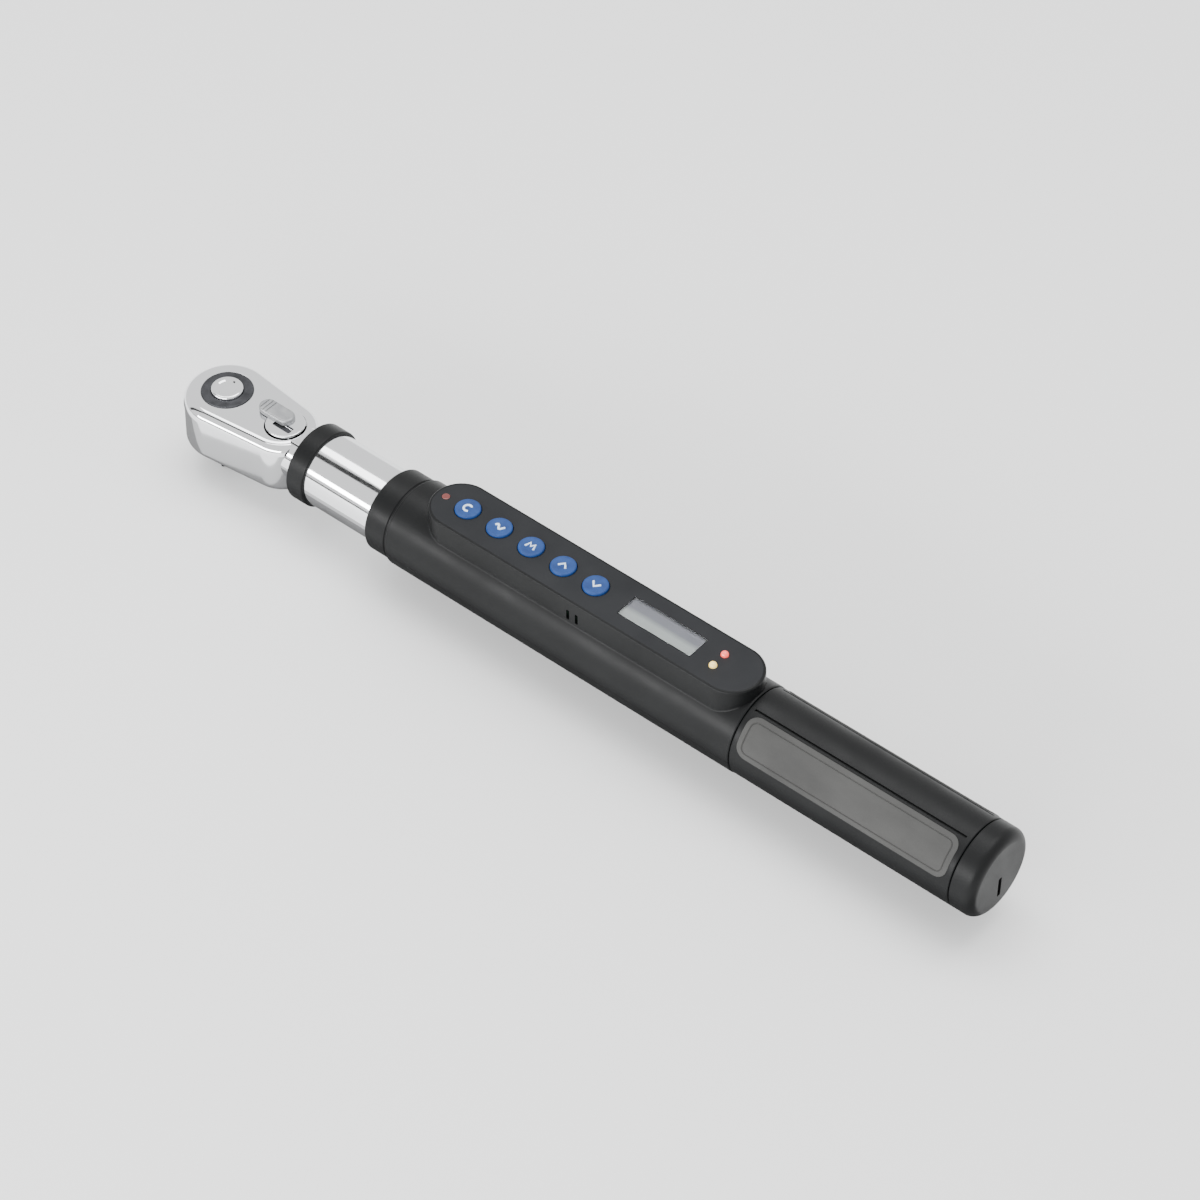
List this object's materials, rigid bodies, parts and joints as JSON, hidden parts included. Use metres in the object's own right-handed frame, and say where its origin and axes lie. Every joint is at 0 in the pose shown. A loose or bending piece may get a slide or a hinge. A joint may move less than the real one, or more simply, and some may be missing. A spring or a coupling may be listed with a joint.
{
  "type": "torque wrench",
  "caption": "Electronic torque wrench: reversing ratchet head with a square drive, chromed tube, housing with keys and display, and a soft grip.",
  "frame": {"origin": "centre of the square drive at its shoulder, where a socket's end face lands", "axes": "+X along the tool to the grip's end, +Z out of the button side, -Z the way the square drive points"},
  "size_m": [0.3785, 0.035, 0.0508],
  "materials": {
    "chrome": "polished chrome plate",
    "black_steel": "black oxide steel",
    "tool_steel": "ground tool steel",
    "grey_lever": "satin grey",
    "black_plastic": "fine-grained moulding",
    "panel_plastic": "smooth film",
    "gauge_foil": "foil",
    "blue_rubber": "soft satin rubber",
    "window": "clear glossy window",
    "display_grey": "grey liquid crystal",
    "red_lens": "glossy lens",
    "yellow_lens": "glossy lens",
    "dull_red": "dull lens",
    "board_green": "solder mask",
    "grey_rubber": "soft matt grip",
    "cell_wrap": "printed wrap, left bare",
    "seal_rubber": "moulded seal"
  },
  "bodies": {
    "tool": {"ratchet_head": "chrome", "pawl_pin": "tool_steel", "cover_plate": "chrome", "plate_screws": "black_steel", "neck_collar": "black_plastic", "main_tube": "chrome", "sensor_beam": "tool_steel", "beam_pin": "tool_steel", "strain_gauges": "gauge_foil", "front_ring": "black_plastic", "housing_upper": "black_plastic", "housing_lower": "black_plastic", "housing_screws": "black_steel", "console_panel": "panel_plastic", "key_switches": "panel_plastic", "display_window": "window", "display_module": "display_grey", "red_light": "red_lens", "yellow_light": "yellow_lens", "front_lens": "dull_red", "circuit_board": "board_green", "buzzer": "panel_plastic", "inner_sleeve": "tool_steel", "grip_core": "black_plastic", "grip_inset_near": "grey_rubber", "grip_inset_far": "grey_rubber", "battery_tray": "panel_plastic", "front_contact": "gauge_foil", "battery_cells": "cell_wrap"},
    "drive": {"drive_gear": "black_steel"},
    "button": {"release_button": "chrome", "release_spring": "tool_steel"},
    "ball": {"detent_ball": "tool_steel"},
    "pawl": {"pawl": "tool_steel"},
    "lever": {"reverse_lever": "grey_lever", "lever_clip": "black_steel", "pawl_plunger": "tool_steel", "plunger_spring": "tool_steel"},
    "cap": {"end_cap": "black_plastic", "cap_seal": "seal_rubber", "battery_spring": "tool_steel"},
    "key_1": {"key_1": "blue_rubber"},
    "key_2": {"key_2": "blue_rubber"},
    "key_3": {"key_3": "blue_rubber"},
    "key_4": {"key_4": "blue_rubber"},
    "key_5": {"key_5": "blue_rubber"}
  },
  "joints": [
    {"name": "drive_turn", "type": "hinge", "parent": "tool", "child": "drive", "pos_m": [0, 0, 0], "axis": [0, 0, 1], "continuous": true},
    {"name": "reverse_turn", "type": "hinge", "parent": "tool", "child": "lever", "pos_m": [0.03, 0, 0.02], "axis": [0, 0, 1], "range_deg": [-25, 25]},
    {"name": "pawl_rock", "type": "hinge", "parent": "tool", "child": "pawl", "pos_m": [0.0205, 0, 0.012], "axis": [0, 0, 1], "range_deg": [-4, 4]},
    {"name": "release_press", "type": "slide", "parent": "drive", "child": "button", "axis": [0, 0, -1], "range_m": [0, 0.0025], "stiffness_N_per_m": 800, "springref_m": -0.001, "deforming": ["release_spring"]},
    {"name": "ball_slide", "type": "slide", "parent": "drive", "child": "ball", "axis": [-0.7071, 0.7071, 0], "range_m": [-0.0008, 0]},
    {"name": "key_1_press", "type": "slide", "parent": "tool", "child": "key_1", "axis": [0, 0, -1], "range_m": [0, 0.0005], "stiffness_N_per_m": 1000, "springref_m": -0.0005},
    {"name": "key_2_press", "type": "slide", "parent": "tool", "child": "key_2", "axis": [0, 0, -1], "range_m": [0, 0.0005], "stiffness_N_per_m": 1000, "springref_m": -0.0005},
    {"name": "key_3_press", "type": "slide", "parent": "tool", "child": "key_3", "axis": [0, 0, -1], "range_m": [0, 0.0005], "stiffness_N_per_m": 1000, "springref_m": -0.0005},
    {"name": "key_4_press", "type": "slide", "parent": "tool", "child": "key_4", "axis": [0, 0, -1], "range_m": [0, 0.0005], "stiffness_N_per_m": 1000, "springref_m": -0.0005},
    {"name": "key_5_press", "type": "slide", "parent": "tool", "child": "key_5", "axis": [0, 0, -1], "range_m": [0, 0.0005], "stiffness_N_per_m": 1000, "springref_m": -0.0005},
    {"name": "cap_pull", "type": "slide", "parent": "tool", "child": "cap", "axis": [1, 0, 0], "range_m": [0, 0.04]}
  ],
  "couplings": [
    {"joint": "pawl_rock", "follows": "reverse_turn", "ratio": -0.16},
    {"joint": "ball_slide", "follows": "release_press", "ratio": -0.32}
  ]
}
